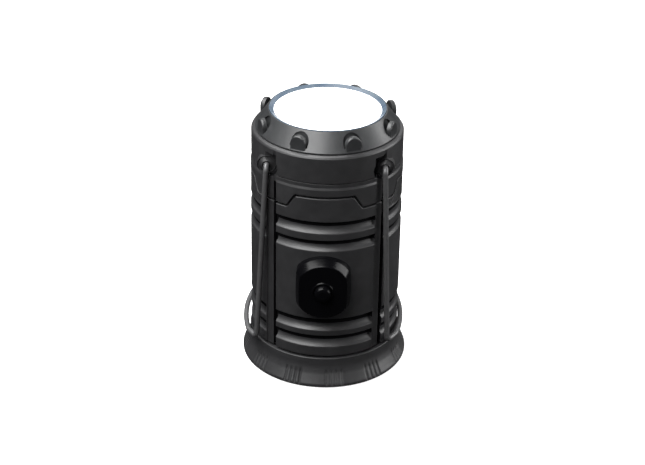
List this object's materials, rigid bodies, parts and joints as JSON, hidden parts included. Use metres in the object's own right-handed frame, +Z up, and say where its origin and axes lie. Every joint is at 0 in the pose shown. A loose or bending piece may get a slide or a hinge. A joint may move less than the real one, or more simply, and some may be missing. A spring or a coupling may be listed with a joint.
{
  "type": "camping lantern",
  "caption": "Collapsible camping lantern with a torch in its top, a head that pulls up off a frosted tube, wire bails and a twist-off flared battery cap.",
  "frame": {"origin": "centre of the foot pad's underside, on the lantern's axis", "axes": "+Z up along the lantern's axis, the push switch on the -Y side, the bails on the -X and +X sides"},
  "size_m": [0.094, 0.1012, 0.1515],
  "materials": {
    "housing_black": "fine-textured moulded black plastic with a slight sheen",
    "bezel_black": "satin black plastic, smoother than the barrel",
    "switch_black": "glossy black",
    "bail_black": "black coated steel wire, satin",
    "foot_rubber": "matt black rubber",
    "lens_clear": "clear polycarbonate, lit from below",
    "diffuser_frost": "frosted polycarbonate",
    "reflector_chrome": "metallised plastic",
    "led_phosphor": "yellow phosphor resin",
    "white_plastic": "white moulded plastic",
    "cartridge_black": "plain black plastic",
    "cell_wrap": "plain shrink wrap over a steel can",
    "contact_brass": "bright strip",
    "bright_steel": "zinc plated",
    "board_green": "solder-masked circuit board",
    "heatsink_aluminium": "turned"
  },
  "bodies": {
    "lower_body": {"lower_shell": "housing_black", "guide_mast": "white_plastic", "battery_cartridge": "cartridge_black", "battery_cell_1": "cell_wrap", "battery_cell_2": "cell_wrap", "battery_cell_3": "cell_wrap", "lower_cell_plate": "contact_brass", "upper_cell_plate": "contact_brass", "mast_terminal": "contact_brass", "contact_rail_left": "contact_brass", "contact_rail_right": "contact_brass", "mast_screw_1": "bright_steel", "mast_screw_2": "bright_steel", "mast_screw_3": "bright_steel", "guide_ring": "white_plastic", "switch_housing": "switch_black", "control_board": "board_green", "tact_switch": "bright_steel"},
    "base_cap": {"foot_pad": "foot_rubber", "base_skirt": "housing_black", "cap_contact": "contact_brass", "cap_spring": "bright_steel"},
    "power_button": {"push_button": "switch_black"},
    "head": {"diffuser_tube": "diffuser_frost", "led_column": "white_plastic", "led_strip_1": "led_phosphor", "led_strip_2": "led_phosphor", "led_strip_3": "led_phosphor", "brush_left": "contact_brass", "brush_right": "contact_brass", "head_floor": "white_plastic", "head_screw_1": "bright_steel", "head_screw_2": "bright_steel", "head_screw_3": "bright_steel", "upper_housing": "housing_black", "torch_heatsink": "heatsink_aluminium", "torch_board": "board_green", "torch_led": "led_phosphor", "torch_reflector": "reflector_chrome", "lens_seal": "foot_rubber", "torch_lens": "lens_clear", "torch_bezel": "bezel_black"},
    "handle_left": {"handle_left": "bail_black"},
    "handle_right": {"handle_right": "bail_black"}
  },
  "joints": [
    {"name": "head_lift", "type": "slide", "parent": "lower_body", "child": "head", "axis": [0, 0, 1], "range_m": [0, 0.062]},
    {"name": "handle_left_swing", "type": "hinge", "parent": "head", "child": "handle_left", "pos_m": [-0.0318, 0, 0.1287], "axis": [0, 1, 0], "range_deg": [0, 178]},
    {"name": "handle_right_swing", "type": "hinge", "parent": "head", "child": "handle_right", "pos_m": [0.0318, 0, 0.1287], "axis": [0, -1, 0], "range_deg": [0, 178]},
    {"name": "button_press", "type": "slide", "parent": "lower_body", "child": "power_button", "axis": [0, 1, 0], "range_m": [0, 0.0015], "stiffness_N_per_m": 800, "springref_m": -0.001},
    {"name": "base_cap_twist", "type": "hinge", "parent": "lower_body", "child": "base_cap", "pos_m": [0, 0, 0], "axis": [0, 0, 1], "range_deg": [0, 30]}
  ]
}
